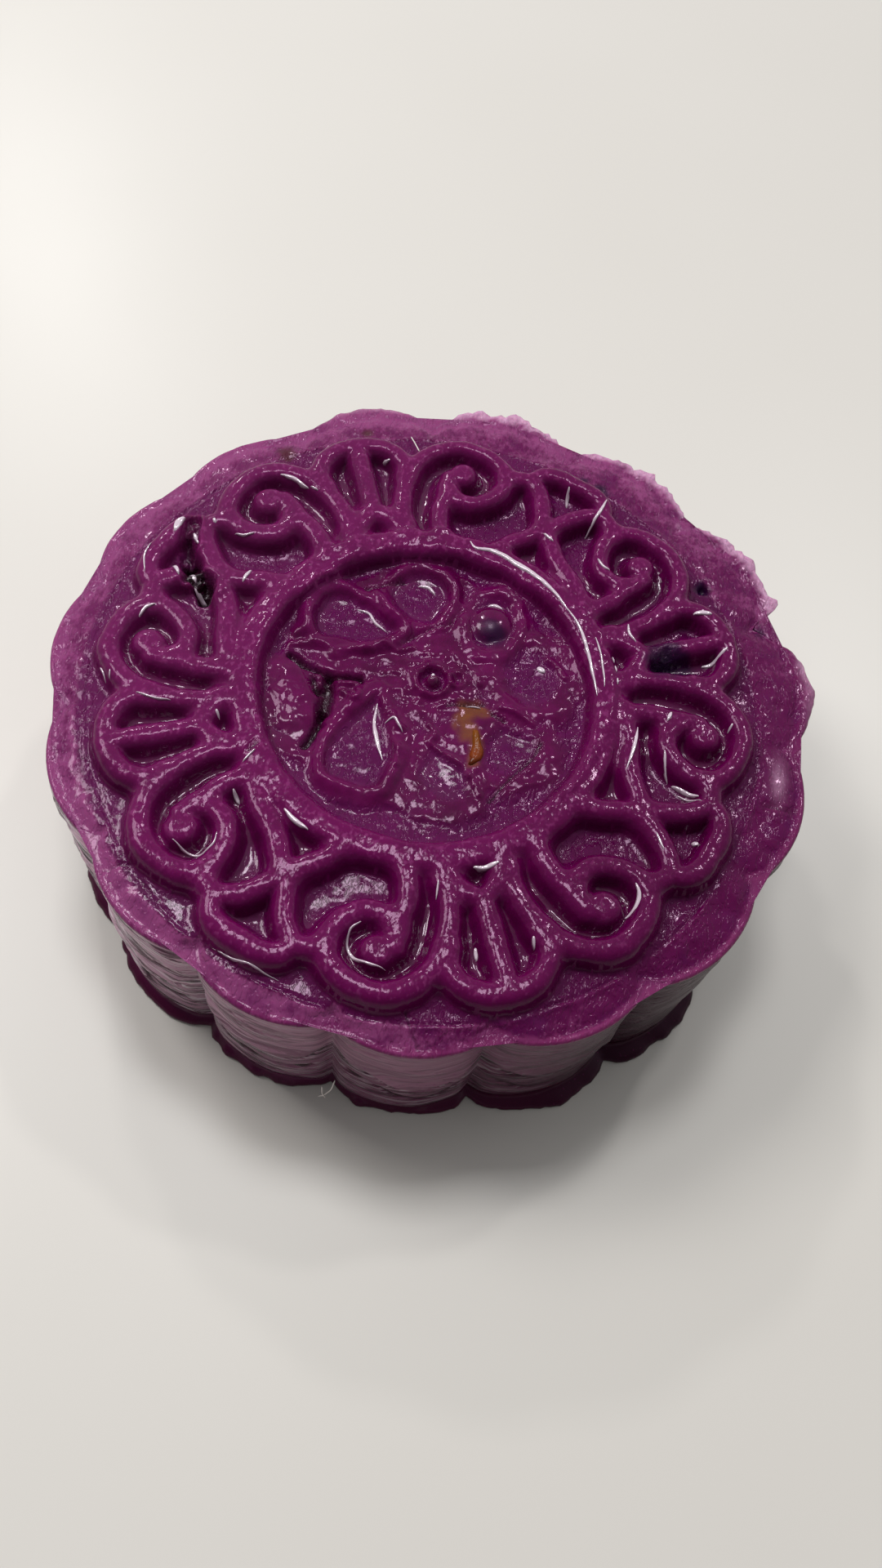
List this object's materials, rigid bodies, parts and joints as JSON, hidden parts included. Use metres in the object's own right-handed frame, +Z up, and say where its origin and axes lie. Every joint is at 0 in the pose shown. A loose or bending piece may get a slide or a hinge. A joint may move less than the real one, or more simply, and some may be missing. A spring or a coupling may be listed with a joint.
{
  "type": "mooncake",
  "caption": "Small round moulded mooncake of glossy purple dough, with a scalloped rim and a raised flower and cloud-scroll pattern on top.",
  "frame": {"origin": "middle of the flat underside, below the middle of the rim", "axes": "+Z up through the patterned top, +X to the right and +Y away from the front"},
  "size_m": [0.0654, 0.0648, 0.0212],
  "materials": {
    "dough": "moist glossy purple dough, stands in for food"
  },
  "bodies": {
    "root": {"mooncake": "dough"}
  },
  "joints": []
}
